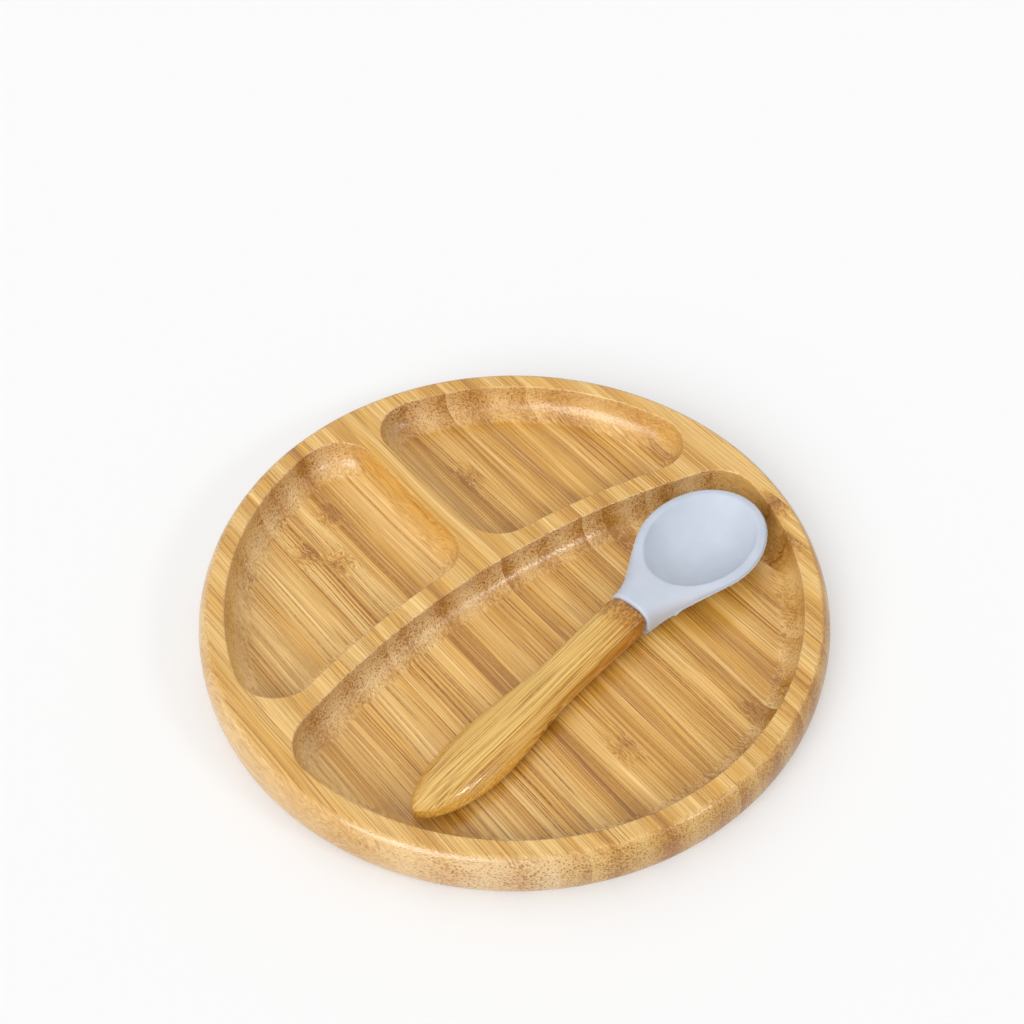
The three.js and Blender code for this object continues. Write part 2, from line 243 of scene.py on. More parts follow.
def as_bmesh(points, faces):
    """A bmesh of points and faces that are given as plain lists."""
    mesh = bpy.data.meshes.new("shell")
    mesh.from_pydata(points, [], faces)
    made = bmesh.new()
    made.from_mesh(mesh)
    bpy.data.meshes.remove(mesh)
    return made


class Shell:
    """Gathers grids and flat fills, and makes one closed mesh of them."""

    def __init__(self):
        self.points, self.faces, self.count = [], [], 0

    def add(self, points, faces):
        """Points as rows of x, y, z, and faces that count from the first of them."""
        self.points.append(points)
        self.faces.extend((np.asarray(faces) + self.count).tolist())
        self.count += len(points)

    def grid(self, points, skip=None):
        """A grid of rows by columns that closes on itself along the columns. Columns in skip stay open."""
        rows, columns = points.shape[:2]
        row = np.arange(rows - 1)[:, None] * columns
        column = np.arange(columns)[None, :]
        after = (column + 1) % columns
        quads = np.stack((row + column, row + after, row + columns + after, row + columns + column), axis=-1)
        if skip is not None:
            quads = quads[np.broadcast_to(~skip, quads.shape[:2])]
        self.add(points.reshape(-1, 3), quads.reshape(-1, 4))

    def fill(self, outlines, height):
        """A flat face at that height between the first outline and the others, which are holes in it."""
        loops = []
        for outline in outlines:
            apart = np.linalg.norm(outline - np.roll(outline, 1, axis=0), axis=1) > NO_LENGTH
            loops.append(outline[apart])
        triangles = tessellate_polygon([[(x, y, 0.0) for x, y in loop] for loop in loops])
        flat = np.concatenate(loops)
        self.add(np.column_stack((flat, np.full(len(flat), height))), triangles)

    def bmesh(self):
        """The gathered surface with its seams and poles merged and its faces turned outwards."""
        made = as_bmesh(np.concatenate(self.points).tolist(), self.faces)
        bmesh.ops.remove_doubles(made, verts=made.verts, dist=MERGED)
        bmesh.ops.dissolve_degenerate(made, dist=NO_LENGTH, edges=made.edges)
        bmesh.ops.recalc_face_normals(made, faces=made.faces)
        return made


def finished_piece(made, name, node, body, material, crease):
    """Puts a bmesh into the scene as a smooth piece that stands for a solid and rides on its body."""
    mesh = bpy.data.meshes.new(name)
    made.to_mesh(mesh)
    made.free()
    mesh.shade_smooth()
    mesh.set_sharp_from_angle(angle=math.radians(crease))
    mesh.materials.append(material)
    piece = bpy.data.objects.new(name, mesh)
    bpy.context.collection.objects.link(piece)
    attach(piece, body)
    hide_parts(node)


def pocket_arcs(plate):
    """The three pockets' outlines as chains of arcs that meet smoothly: each arc is its centre, its
    radius, whether the radius grows (1) or shrinks (-1) as the outline moves into the pocket, and its
    first and last angle. A corner's arc touches the plate's inner circle and the divider's circle."""
    top = plate.diameter / 2 - plate.side_bulge
    inner = top - plate.rim_width
    corner = plate.corner_radius
    front_edge = plate.divider_radius
    back_edge = front_edge + plate.divider_width
    centre = plate.divider_crest - front_edge

    def corner_place(from_middle, from_divider):
        y = (from_middle**2 - from_divider**2 + centre**2) / (2 * centre)
        return np.array((math.sqrt(from_middle**2 - y**2), y))

    def angle(x, y):
        return math.atan2(y, x)

    def divider_angle(place):
        return angle(place[0], place[1] - centre)

    right = corner_place(inner - corner, front_edge - corner)
    rim_angle, edge_angle = angle(*right), divider_angle(right)
    front = [
        (0, 0, inner, -1, -math.pi - rim_angle, rim_angle),
        (right[0], right[1], corner, -1, rim_angle, edge_angle),
        (0, centre, front_edge, -1, edge_angle, math.pi - edge_angle),
        (-right[0], right[1], corner, -1, math.pi - edge_angle, math.pi - rim_angle),
    ]
    pockets = [front]
    for side in (1, -1):
        wall = plate.divider_width / 2 + side * plate.cross_shift
        outer = corner_place(inner - corner, back_edge + corner)
        near = wall + corner
        back = np.array((near, math.sqrt((inner - corner) ** 2 - near**2)))
        fore = np.array((near, centre + math.sqrt((back_edge + corner) ** 2 - near**2)))
        arcs = [
            (0, 0, inner, -1, angle(*outer), angle(*back)),
            (back[0], back[1], corner, -1, angle(*back), math.pi),
            (fore[0], fore[1], corner, -1, math.pi, divider_angle(fore) + math.pi),
            (0, centre, back_edge, 1, divider_angle(fore), divider_angle(outer)),
            (outer[0], outer[1], corner, -1, divider_angle(outer) - math.pi, angle(*outer)),
        ]
        if side < 0:
            arcs = [(-x, y, r, grows, math.pi - a, math.pi - b) for x, y, r, grows, a, b in arcs]
        pockets.append(arcs)
    return pockets


def pocket_rings(arcs, insets, step):
    """One outline for each inset, as an array of insets by points: along every arc the radius changes
    by the inset, so that all outlines stay parallel and share their angles."""
    parts = []
    for x, y, radius, grows, first, last in arcs:
        angle = np.linspace(first, last, max(8, math.ceil(abs(last - first) * radius / step)))
        reach = radius + grows * insets[:, None]
        parts.append(np.stack((x + reach * np.cos(angle), y + reach * np.sin(angle)), axis=-1))
    return np.concatenate(parts, axis=1)


def pocket_profile(plate):
    """A pocket's wall from the rim inwards, as inset and height: a quarter round at the edge, a short
    upright wall, a quarter round into the floor, and a narrow flat ring at either end."""
    edge, fillet = plate.edge_round, plate.floor_fillet
    floor = plate.height - plate.pocket_depth
    turn = np.linspace(0, math.pi / 2, 7)
    sweep = np.linspace(0, math.pi / 2, 17)
    wall = np.linspace(plate.height - edge, floor + fillet, 4)[1:-1]
    inset = np.concatenate(
        (
            [-edge - RIM_RING], edge * (np.sin(turn) - 1), np.zeros(len(wall)),
            fillet * (1 - np.cos(sweep)), [fillet + FLOOR_RING],
        )
    )
    height = np.concatenate(
        (
            [plate.height], plate.height - edge * (1 - np.cos(turn)), wall,
            floor + fillet * (1 - np.sin(sweep)), [floor],
        )
    )
    return inset, height


def side_profile(plate):
    """The plate's outer side from the underside up, as radius and height: the top edge's radius plus a
    bulge that falls off as a power of the height from the middle. A parabola through the corner point
    rounds the lower and the upper edge."""
    top = plate.diameter / 2 - plate.side_bulge
    edge = plate.rim_round

    def bulge(height):
        return top + plate.side_bulge * (1 - np.abs(2 * height / plate.height - 1) ** plate.side_power)

    def parabola(first, corner, last):
        t = np.linspace(0, 1, 7)[:, None]
        return (1 - t) ** 2 * np.array(first) + 2 * t * (1 - t) * np.array(corner) + t**2 * np.array(last)

    shoulder = plate.height - edge
    flat = top - edge - RIM_RING
    upright = np.linspace(edge, shoulder, 23)[1:-1]
    low = parabola((top - edge, 0), (top, 0), (bulge(edge), edge))
    high = parabola((bulge(shoulder), shoulder), (top, plate.height), (top - edge, plate.height))
    side = np.column_stack((bulge(upright), upright))
    return np.concatenate(([[flat, 0]], low, side, high, [[flat, plate.height]]))


def plate_board(plate):
    """The whole board before it is parted into strips: the side's profile turned round the middle, each
    pocket's profile carried along its outline, and flat fills for the rim, the floors and the underside."""
    shell = Shell()
    profile = side_profile(plate)
    turn = np.linspace(0, 2 * math.pi, SIDE_POINTS, endpoint=False)
    circle = np.stack((np.cos(turn), np.sin(turn)), axis=-1)
    rings = profile[:, 0, None, None] * circle
    heights = np.broadcast_to(profile[:, 1, None, None], rings.shape[:2] + (1,))
    shell.grid(np.concatenate((rings, heights), axis=-1))
    shell.fill([rings[0]], 0.0)
    inset, height = pocket_profile(plate)
    mouths = []
    for arcs in pocket_arcs(plate):
        outlines = pocket_rings(arcs, inset, POCKET_STEP)
        levels = np.broadcast_to(height[:, None, None], outlines.shape[:2] + (1,))
        shell.grid(np.concatenate((outlines, levels), axis=-1))
        shell.fill([outlines[-1]], height[-1])
        mouths.append(outlines[0])
    shell.fill([rings[-1], *mouths], plate.height)
    return shell.bmesh()


def part_into_strips(board, plate, count):
    """Cuts the board at every glue line, sorts its triangles by the strip that their middle is in, and
    closes each strip's two cut sides."""
    for k in range(1, count):
        glue = (k - count / 2) * plate.strip_width
        bmesh.ops.bisect_plane(
            board, geom=board.verts[:] + board.edges[:] + board.faces[:], dist=NO_LENGTH,
            plane_co=(glue, 0, 0), plane_no=(1, 0, 0),
        )
    bmesh.ops.triangulate(board, faces=board.faces)
    mesh = bpy.data.meshes.new("board")
    board.to_mesh(mesh)
    board.free()
    points = np.empty(len(mesh.vertices) * 3)
    mesh.vertices.foreach_get("co", points)
    points = points.reshape(-1, 3)
    triangles = np.empty(len(mesh.polygons) * 3, dtype=np.int64)
    mesh.polygons.foreach_get("vertices", triangles)
    triangles = triangles.reshape(-1, 3)
    bpy.data.meshes.remove(mesh)
    middle = points[triangles, 0].mean(axis=1)
    strip = np.clip(np.floor(middle / plate.strip_width + count / 2), 0, count - 1).astype(int)
    for k in range(count):
        used, faces = np.unique(triangles[strip == k], return_inverse=True)
        made = as_bmesh(points[used].tolist(), faces.reshape(-1, 3).tolist())
        open_edges = [edge for edge in made.edges if edge.is_boundary]
        filled = bmesh.ops.holes_fill(made, edges=open_edges, sides=0)
        bmesh.ops.triangulate(made, faces=filled["faces"])
        bmesh.ops.recalc_face_normals(made, faces=made.faces)
        yield made


def into_pocket(points, spoon):
    """Turns points from the spoon's own frame, with x along it from the tip, to where it lies."""
    cos, sin = math.cos(spoon.turn), math.sin(spoon.turn)
    turned = np.empty_like(points)
    turned[..., 0] = cos * points[..., 0] - sin * points[..., 1] + spoon.tip[0]
    turned[..., 1] = sin * points[..., 0] + cos * points[..., 1] + spoon.tip[1]
    turned[..., 2] = points[..., 2] + spoon.tip[2]
    return turned


def handle_points(spoon):
    """The handle as stations along x by angles round the section. A section is the level curve of
    (z^p + (|y| + k z)^p) = 1 above its middle, in units of the half sizes: k slopes the side facets in
    towards a flat top and p sharpens the crease between them, both strongest at the butt. Below, it is
    a plain superellipse. Width, underside and top follow the same eased lines as the solid handle."""
    length = spoon.handle_length
    nose_power, shoulder_power = 0.58, 2.5
    under_power, tongue_power = 2.4, 8.0
    spread = np.linspace(0, 1, HANDLE_STATIONS)
    x = np.concatenate((length * (1 - np.cos(spread * math.pi)) / 2, np.full(2, length)))
    x = np.concatenate((x, length + spoon.tongue_length * np.array((0.5, 0.94, 1.0, 1.0))))
    on_handle = np.arange(len(x)) < len(spread) + 1
    butt = np.clip(x / spoon.butt_length, 0, 1)
    nose = (1 - (1 - butt) ** 2) ** nose_power
    wide = ease(x, spoon.butt_length, spoon.waist_at, spoon.butt_width, spoon.waist_width)
    width = nose * ease(x, spoon.waist_at, length, wide, spoon.neck_width)
    low = ease(x, spoon.butt_length, length, spoon.tip_rise * (1 - butt) ** 2, spoon.neck_lift)
    thick = spoon.butt_thickness - spoon.tip_drop * (1 - butt) ** 2
    high = ease(x, spoon.butt_length, length, thick, spoon.neck_lift + spoon.neck_thickness)
    shoulder = np.clip((x - length + spoon.neck_round) / spoon.neck_round, 0, 1) ** shoulder_power
    width = width * (1 - 0.10 * shoulder)
    low, high = low + 0.0006 * shoulder, high - 0.0007 * shoulder
    middle = low + (high - low) * ease(x, 0.012, 0.045, 0.46, 0.5)
    neck = spoon.neck_lift + spoon.neck_thickness / 2
    taper = np.where(x >= length + spoon.tongue_length, 0.86, 1.0)
    half = np.where(on_handle, width / 2, taper * spoon.tongue_width / 2)
    up = np.where(on_handle, high - middle, taper * spoon.tongue_thickness / 2)
    down = np.where(on_handle, middle - low, taper * spoon.tongue_thickness / 2)
    middle = np.where(on_handle, middle, neck)
    half[-1] = up[-1] = down[-1] = 0.0

    angle = np.linspace(0, 2 * math.pi, HANDLE_POINTS, endpoint=False)
    cos, sin = np.abs(np.cos(angle)), np.sin(angle)
    # The facets and the crease fade out between the butt and the waist. The tongue is almost square.
    slope = np.where(on_handle, ease(x, 0.018, 0.048, 0.36, 0.0), 0.0)[:, None]
    power = np.where(on_handle, ease(x, 0.016, 0.046, 5.0, 2.7), tongue_power)[:, None]
    under = np.where(on_handle, under_power, tongue_power)[:, None]
    rise, fall = np.maximum(sin, 0), np.maximum(-sin, 0)
    above = (rise**power + (cos + slope * rise) ** power) ** (-1 / power)
    below = (fall**under + cos**under) ** (-1 / under)
    reach = np.where(sin >= 0, above, below)
    points = np.empty(reach.shape + (3,))
    points[..., 0] = x[:, None]
    points[..., 1] = half[:, None] * reach * np.cos(angle)
    points[..., 2] = middle[:, None] + np.where(sin >= 0, up[:, None], down[:, None]) * reach * sin
    return points


def handle_shell(spoon):
    """The handle with its tongue, one closed surface."""
    shell = Shell()
    shell.grid(into_pocket(handle_points(spoon), spoon))
    return shell.bmesh()


def head_shell(spoon):
    """The head as rings round the middle of the bowl, each along rays to the head's outline. The upper
    rings take the lower of two surfaces with a soft blend between them: the hollow, a bowl-shaped dish, and
    the lip, which falls off as a high power of the share of the ray and turns into the neck's
    superellipse near the handle. A thin fin along the outline is the mould's parting line. The lower
    rings follow the belly's superellipse back to the middle. The end at the handle has a socket."""
    seam = spoon.handle_length + spoon.clearance
    start = seam + spoon.tongue_length + spoon.socket_wall
    middle = start + spoon.bowl_length / 2
    end = spoon.bowl_length / 2 + spoon.lip
    broad = spoon.bowl_width / 2 + spoon.lip
    rim = spoon.bowl_depth + spoon.bowl_wall
    neck = spoon.neck_lift + spoon.neck_thickness / 2
    neck_half = spoon.neck_width / 2 + spoon.collar
    section_power, lip_power, lip_root, dish_power, socket_power = 2.8, 9, 3.2, 0.75, 8

    def outline_half(x):
        past = np.clip((x - middle) / end, 0, 1)
        flare = np.clip((x - seam) / (middle - seam), 0, 1)
        swell = 0.0003 * np.sin(np.pi * flare) ** 2
        return (ease(x, seam, middle, neck_half, broad) + swell) * np.sqrt(1 - past**2)

    def share_aside(x, y):
        return np.clip(np.abs(y) / np.maximum(outline_half(x), MERGED), 0, 1)

    def curl(x):
        return spoon.edge_curl * np.clip(1 - (x - seam) / spoon.edge_length, 0, 1) ** 2

    def widest_height(x):
        return ease(x, seam, start + 0.013, neck - spoon.parting_drop, rim - spoon.lip_thickness)

    def top_height(x, y, out):
        crest = ease(x, seam, start, neck + spoon.neck_thickness / 2 + spoon.collar, rim)
        widest = widest_height(x)
        by_section = (1 - share_aside(x, y) ** section_power) ** (1 / section_power)
        by_ray = (1 - np.clip(out, 0, 1) ** lip_power) ** (1 / lip_root)
        bowl = ease(x, start - 0.003, start + 0.009, 0, 1)
        return widest + (crest - widest) * ((1 - bowl) * by_section + bowl * by_ray) - curl(x)

    def under_height(x, y):
        past = np.clip((x - middle) / end, 0, 1)
        widest = widest_height(x)
        lowest = ease(x, seam, middle, neck - spoon.neck_thickness / 2 - spoon.collar, 0.0)
        drop = (widest - lowest) * np.sqrt(1 - past**2)
        power = ease(x, seam, start, 2.2, 1.5)
        return widest - drop * (1 - share_aside(x, y) ** power) ** (1 / power) + curl(x)

    sides = np.linspace(0, 1, HEAD_SIDE_POINTS, endpoint=False)
    round_end = np.linspace(0, math.pi, HEAD_END_POINTS, endpoint=False)
    across = np.linspace(-1, 1, HEAD_MOUTH_POINTS, endpoint=False)
    there, back = seam + (middle - seam) * sides, seam + (middle - seam) * (1 - sides)
    mouth_y = neck_half * np.sin(across * math.pi / 2)
    edge_x = np.concatenate((there, middle + end * np.sin(round_end), back, np.full(len(across), seam)))
    edge_y = np.concatenate((outline_half(there), broad * np.cos(round_end), -outline_half(back), mouth_y))
    at_socket = np.arange(len(edge_x)) >= len(edge_x) - len(across)
    ray_x, ray_y = edge_x - middle, edge_y
    ray = np.hypot(ray_x, ray_y)
    hollow = 1 / np.hypot(ray_x / (spoon.bowl_length / 2), ray_y / (spoon.bowl_width / 2))

    soft = spoon.lip_round
    out = 1 - (1 - np.linspace(0, 1, BOWL_RINGS)[:, None]) ** 1.5
    x, y = middle + out * ray_x, out * ray_y
    inside = 1 - (out / hollow) ** 2
    dish = rim - spoon.bowl_depth * np.maximum(inside, 0) ** dish_power - 0.012 * np.minimum(inside, 0)
    lip = top_height(x, y, out)
    near = np.maximum(soft - np.abs(dish - lip), 0) / soft
    upper = np.stack((x, y, np.minimum(dish, lip) - near**2 * soft / 4), axis=-1)

    # The parting line's fin is a little uneven, and one nub of it stands out where the mould was filled.
    ripple = 1 + 0.1 * np.sin(3100 * edge_x + 900 * edge_y)
    fin = spoon.fin * ease(edge_x, seam + 0.0005, seam + 0.004, 0, 1) * ripple
    nub = spoon.nub * np.exp(-(((edge_x - seam - spoon.nub_at) / 0.0007) ** 2)) * (edge_y < 0)
    outwards = np.array((0.0, 1.0, 1.0, 0.0))[:, None] * np.where(at_socket, 0, fin + nub)
    rise = np.where(at_socket, 0, np.array((0.00012, 0.00010, -0.00010, -0.00012))[:, None])
    x, y, z = upper[-1].T
    parting = np.stack((x + outwards * ray_x / ray, y + outwards * ray_y / ray, z + rise), axis=-1)
    skin = np.concatenate((upper, parting))

    out = np.cos(np.linspace(0, 1, BELLY_RINGS) * math.pi / 2)[:, None]
    x, y = middle + out * ray_x, out * ray_y
    belly = np.stack((x, y, under_height(x, y)), axis=-1)

    shell = Shell()
    shell.grid(into_pocket(skin, spoon))
    shell.grid(into_pocket(belly, spoon))
    shell.grid(into_pocket(np.stack((skin[-1], belly[0])), spoon), skip=at_socket[None, :])

    under_mouth = belly[0, at_socket][::-1][: len(across) - 1]
    mouth = np.concatenate((skin[-1, at_socket], skin[-1, :1], under_mouth))
    angle = np.arctan2(mouth[:, 2] - neck, mouth[:, 1])
    half = spoon.tongue_width / 2 + spoon.clearance
    thick = spoon.tongue_thickness / 2 + spoon.clearance
    wide = (np.abs(np.cos(angle)) / half) ** socket_power
    high = (np.abs(np.sin(angle)) / thick) ** socket_power
    reach = (wide + high) ** (-1 / socket_power)
    hole = np.column_stack((np.full(len(angle), seam), reach * np.cos(angle), neck + reach * np.sin(angle)))
    depth = spoon.handle_length + spoon.tongue_length + spoon.clearance
    bottom = hole.copy()
    bottom[:, 0] = depth
    pole = np.broadcast_to((depth, 0.0, neck), hole.shape)
    shell.grid(into_pocket(np.stack((mouth, hole, bottom, pole)), spoon))
    return shell.bmesh()


# Materials


def put(tree, kind, links=None, **settings):
    """Adds a node. Values in links are sockets to join, or plain values for the node's inputs."""
    made = tree.nodes.new(kind)
    for name, value in settings.items():
        setattr(made, name, value)
    for name, value in (links or {}).items():
        if isinstance(value, bpy.types.NodeSocket):
            tree.links.new(value, made.inputs[name])
        else:
            made.inputs[name].default_value = value
    return made


def sums(tree, operation, first, second=0.0, third=None, clamp=False):
    """One Math node's result."""
    links = {0: first, 1: second}
    if third is not None:
        links[2] = third
    return put(tree, "ShaderNodeMath", links, operation=operation, use_clamp=clamp).outputs[0]


def vectors(tree, operation, first, second):
    """One Vector Math node's vector."""
    return put(tree, "ShaderNodeVectorMath", {0: first, 1: second}, operation=operation).outputs[0]


def blend(tree, factor, first, second, mode="MIX"):
    """One colour Mix node's colour."""
    made = put(tree, "ShaderNodeMix", {0: factor, 6: first, 7: second}, data_type="RGBA", blend_type=mode)
    return made.outputs[2]


def ramp(tree, value, low, high, first=0.0, last=1.0):
    """Goes smoothly from first to last as value goes from low to high."""
    links = {"Value": value, "From Min": low, "From Max": high, "To Min": first, "To Max": last}
    return put(tree, "ShaderNodeMapRange", links, interpolation_type="SMOOTHSTEP").outputs[0]


def scaled(tree, vector, factor):
    """A vector times a number."""
    return put(tree, "ShaderNodeVectorMath", {0: vector, "Scale": factor}, operation="SCALE").outputs[0]


def noise(tree, vector, stretch, detail=2.0, roughness=0.5, output=0):
    """A noise texture on a vector that is stretched along its axes: its value, or its colour as output 1."""
    stretched = vectors(tree, "MULTIPLY", vector, stretch)
    links = {"Vector": stretched, "Scale": 1.0, "Detail": detail, "Roughness": roughness}
    return put(tree, "ShaderNodeTexNoise", links).outputs[output]


def bumped(tree, surface, height, strength, distance):
    """Joins a height to the shader's normal through a Bump node."""
    bump = put(tree, "ShaderNodeBump", {"Height": height, "Strength": strength, "Distance": distance})
    tree.links.new(bump.outputs["Normal"], surface.inputs["Normal"])


def new_group(name, inputs, outputs):
    """An empty shader group with those named sockets, and its input and output nodes."""
    tree = bpy.data.node_groups.new(name, "ShaderNodeTree")
    for socket, kind, default in inputs:
        made = tree.interface.new_socket(name=socket, in_out="INPUT", socket_type=kind)
        if default is not None:
            made.default_value = default
    for socket, kind in outputs:
        tree.interface.new_socket(name=socket, in_out="OUTPUT", socket_type=kind)
    return tree, tree.nodes.new("NodeGroupInput").outputs, tree.nodes.new("NodeGroupOutput").inputs


def bamboo_group():
    """Bamboo with its fibres along Y. Seen across the grain, the fibre bundles are round spots about
    0.5 mm apart: a cell pattern on X and Z alone, so that on a face along the grain each spot is drawn
    out into a line. Slow noise along Y makes the lines wander. The spots are larger and the ground is
    browner on a strip's dense side, each dark spot has a pale surround, and finer hair lines run between
    them. Cut across, wider pores show among the spots. On a strip's flanks the lines sway into flames. A
    knuckle curls and darkens the fibres at one place along the grain."""
    number, tint, arrow = "NodeSocketFloat", "NodeSocketColor", "NodeSocketVector"
    tree, given, result = new_group(
        "bamboo_grain",
        [
            ("Place", arrow, None), ("Seed", number, 0.0), ("Tone", number, 0.0),
            ("Fibre Share", number, 0.6), ("Dense", number, 0.5), ("Knuckle", number, 0.0),
            ("Knuckle Strength", number, 0.0), ("End Grain", number, 0.0), ("Flank", number, 0.0),
            ("Pale", tint, None), ("Honey", tint, None), ("Brown", tint, None), ("Fibre", tint, None),
            ("End", tint, None),
        ],
        [("Color", tint), ("Roughness", number), ("Height", number)],
    )
    # Where the fibres run
    bundle_spacing, pore_spacing = 0.00054, 0.00095
    knuckle_reach, knuckle_line = 0.0048, 0.0005
    place = vectors(tree, "ADD", given["Place"], scaled(tree, (0.371, 0.173, 0.529), given["Seed"]))

    def drift(stretch, reach_across, reach_up, detail):
        cloud = noise(tree, place, stretch, detail, 0.4, 1)
        moved = vectors(tree, "SUBTRACT", cloud, (0.5, 0.5, 0.5))
        return vectors(tree, "MULTIPLY", moved, (reach_across, 0.0, reach_up))

    def cells(section, spacing, randomness):
        links = {"Vector": section, "Scale": 1 / spacing, "Randomness": randomness}
        cell = put(tree, "ShaderNodeTexVoronoi", links, voronoi_dimensions="2D").outputs
        return cell["Distance"], put(tree, "ShaderNodeSeparateColor", {0: cell["Color"]}).outputs

    along = put(tree, "ShaderNodeSeparateXYZ", {0: given["Place"]}).outputs[1]
    past = sums(tree, "SUBTRACT", along, given["Knuckle"])
    zone = sums(tree, "MULTIPLY", sums(tree, "MULTIPLY", past, past), -1 / knuckle_reach**2)
    zone = sums(tree, "MULTIPLY", sums(tree, "EXPONENT", zone), given["Knuckle Strength"])
    wander = drift((9, 15, 9), 0.0030, 0.0016, 3.0)
    curl = scaled(tree, drift((420, 300, 420), 0.0030, 0.0030, 1.0), zone)
    flame = scaled(tree, drift((110, 48, 110), 0.0, 0.0100, 2.0), given["Flank"])
    threads = vectors(tree, "ADD", vectors(tree, "ADD", place, wander), curl)
    threads = vectors(tree, "ADD", threads, flame)
    split = put(tree, "ShaderNodeSeparateXYZ", {0: threads}).outputs
    section = put(tree, "ShaderNodeCombineXYZ", {0: split[0], 1: split[2]}).outputs[0]
    spot, chance = cells(section, bundle_spacing, 0.85)
    pore, depth = cells(section, pore_spacing, 0.9)

    bands = noise(tree, threads, (500, 3, 500), 2.0, 0.55)
    patch = noise(tree, place, (60, 20, 60))
    hair = noise(tree, threads, (2600, 18, 2600), 2.0, 0.6)
    dash = noise(tree, threads, (1500, 620, 1500), 1.0)

    # Dark fibre bundles, pores and the knuckle's line, and the pale surround of the bundles
    dense = sums(tree, "MULTIPLY_ADD", bands, 1.0, -0.5)
    dense = sums(tree, "ADD", dense, given["Dense"], clamp=True)
    share_here = sums(tree, "MULTIPLY", dense, sums(tree, "ADD", given["Fibre Share"], 0.45))
    radius = sums(tree, "MULTIPLY_ADD", share_here, 0.23, 0.16)
    radius = sums(tree, "MULTIPLY_ADD", zone, 0.10, radius)
    inside = sums(tree, "SUBTRACT", radius, spot)
    mask = ramp(tree, inside, -0.08, 0.07)
    weight = sums(tree, "MULTIPLY_ADD", chance[0], 0.75, 0.25)
    broken = ramp(tree, dash, 0.30, 0.62, 0.62, 1.0)
    dark = sums(tree, "MULTIPLY", sums(tree, "MULTIPLY", mask, weight), broken)
    for name, slope, base in (("Fibre Share", 0.55, 0.52), ("End Grain", -0.10, 1.0), ("Flank", -0.45, 1.0)):
        dark = sums(tree, "MULTIPLY", dark, sums(tree, "MULTIPLY_ADD", given[name], slope, base))
    hole = sums(tree, "SUBTRACT", sums(tree, "MULTIPLY_ADD", share_here, 0.22, 0.15), pore)
    depth = sums(tree, "MULTIPLY_ADD", depth[0], 0.60, 0.50)
    hole = sums(tree, "MULTIPLY", ramp(tree, hole, -0.10, 0.08), depth)
    dark = sums(tree, "MAXIMUM", dark, sums(tree, "MULTIPLY", hole, given["End Grain"]))
    line = sums(tree, "MULTIPLY_ADD", bands, 0.006, sums(tree, "SUBTRACT", past, 0.003))
    line = sums(tree, "DIVIDE", line, knuckle_line)
    line = sums(tree, "EXPONENT", sums(tree, "MULTIPLY", sums(tree, "MULTIPLY", line, line), -1.0))
    line = sums(tree, "MULTIPLY", sums(tree, "MULTIPLY", line, given["Knuckle Strength"]), 0.5)
    dark = sums(tree, "MAXIMUM", dark, line, clamp=True)
    glow = sums(tree, "MULTIPLY", ramp(tree, inside, -0.36, -0.14), sums(tree, "SUBTRACT", 1.0, mask))
    glow = sums(tree, "MULTIPLY", glow, sums(tree, "MULTIPLY", chance[1], 0.65))

    # Ground colour, roughness and height
    tone = sums(tree, "MULTIPLY_ADD", given["Tone"], 0.30, 0.66)
    tone = sums(tree, "ADD", tone, sums(tree, "MULTIPLY_ADD", patch, 0.6, -0.30))
    tone = sums(tree, "ADD", tone, sums(tree, "MULTIPLY_ADD", dense, -0.74, 0.36))
    tone = sums(tree, "SUBTRACT", tone, sums(tree, "MULTIPLY", zone, 0.42))
    ground = blend(tree, ramp(tree, tone, 0.0, 0.60), given["Brown"], given["Honey"])
    ground = blend(tree, ramp(tree, tone, 0.45, 1.10), ground, given["Pale"])
    ground = blend(tree, glow, ground, given["Pale"])
    shade = sums(tree, "MULTIPLY_ADD", hair, 1.60, 0.19)
    warm = {0: sums(tree, "POWER", shade, 0.75), 1: shade, 2: sums(tree, "POWER", shade, 1.7)}
    ground = blend(tree, 1.0, ground, put(tree, "ShaderNodeCombineXYZ", warm).outputs[0], "MULTIPLY")
    cut = blend(tree, ramp(tree, tone, -0.10, 0.85), given["Brown"], given["End"])
    ground = blend(tree, sums(tree, "MULTIPLY", given["End Grain"], 0.50), ground, cut)
    ground = blend(tree, sums(tree, "MULTIPLY", given["Flank"], 0.28), ground, given["Pale"])
    tree.links.new(blend(tree, dark, ground, given["Fibre"]), result["Color"])
    rough = sums(tree, "MULTIPLY_ADD", dark, 0.12, 0.18)
    rough = sums(tree, "MULTIPLY_ADD", given["End Grain"], 0.03, rough)
    tree.links.new(sums(tree, "MULTIPLY_ADD", hair, 0.10, rough), result["Roughness"])
    sunken = sums(tree, "MULTIPLY", dark, -1.0)
    tree.links.new(sums(tree, "MULTIPLY_ADD", hair, 0.4, sunken), result["Height"])
    return tree


def new_material(name):
    """An empty node material, its tree and its Principled shader."""
    material = bpy.data.materials.new(name)
    material.use_nodes = True
    tree = material.node_tree
    return material, tree, tree.nodes["Principled BSDF"]


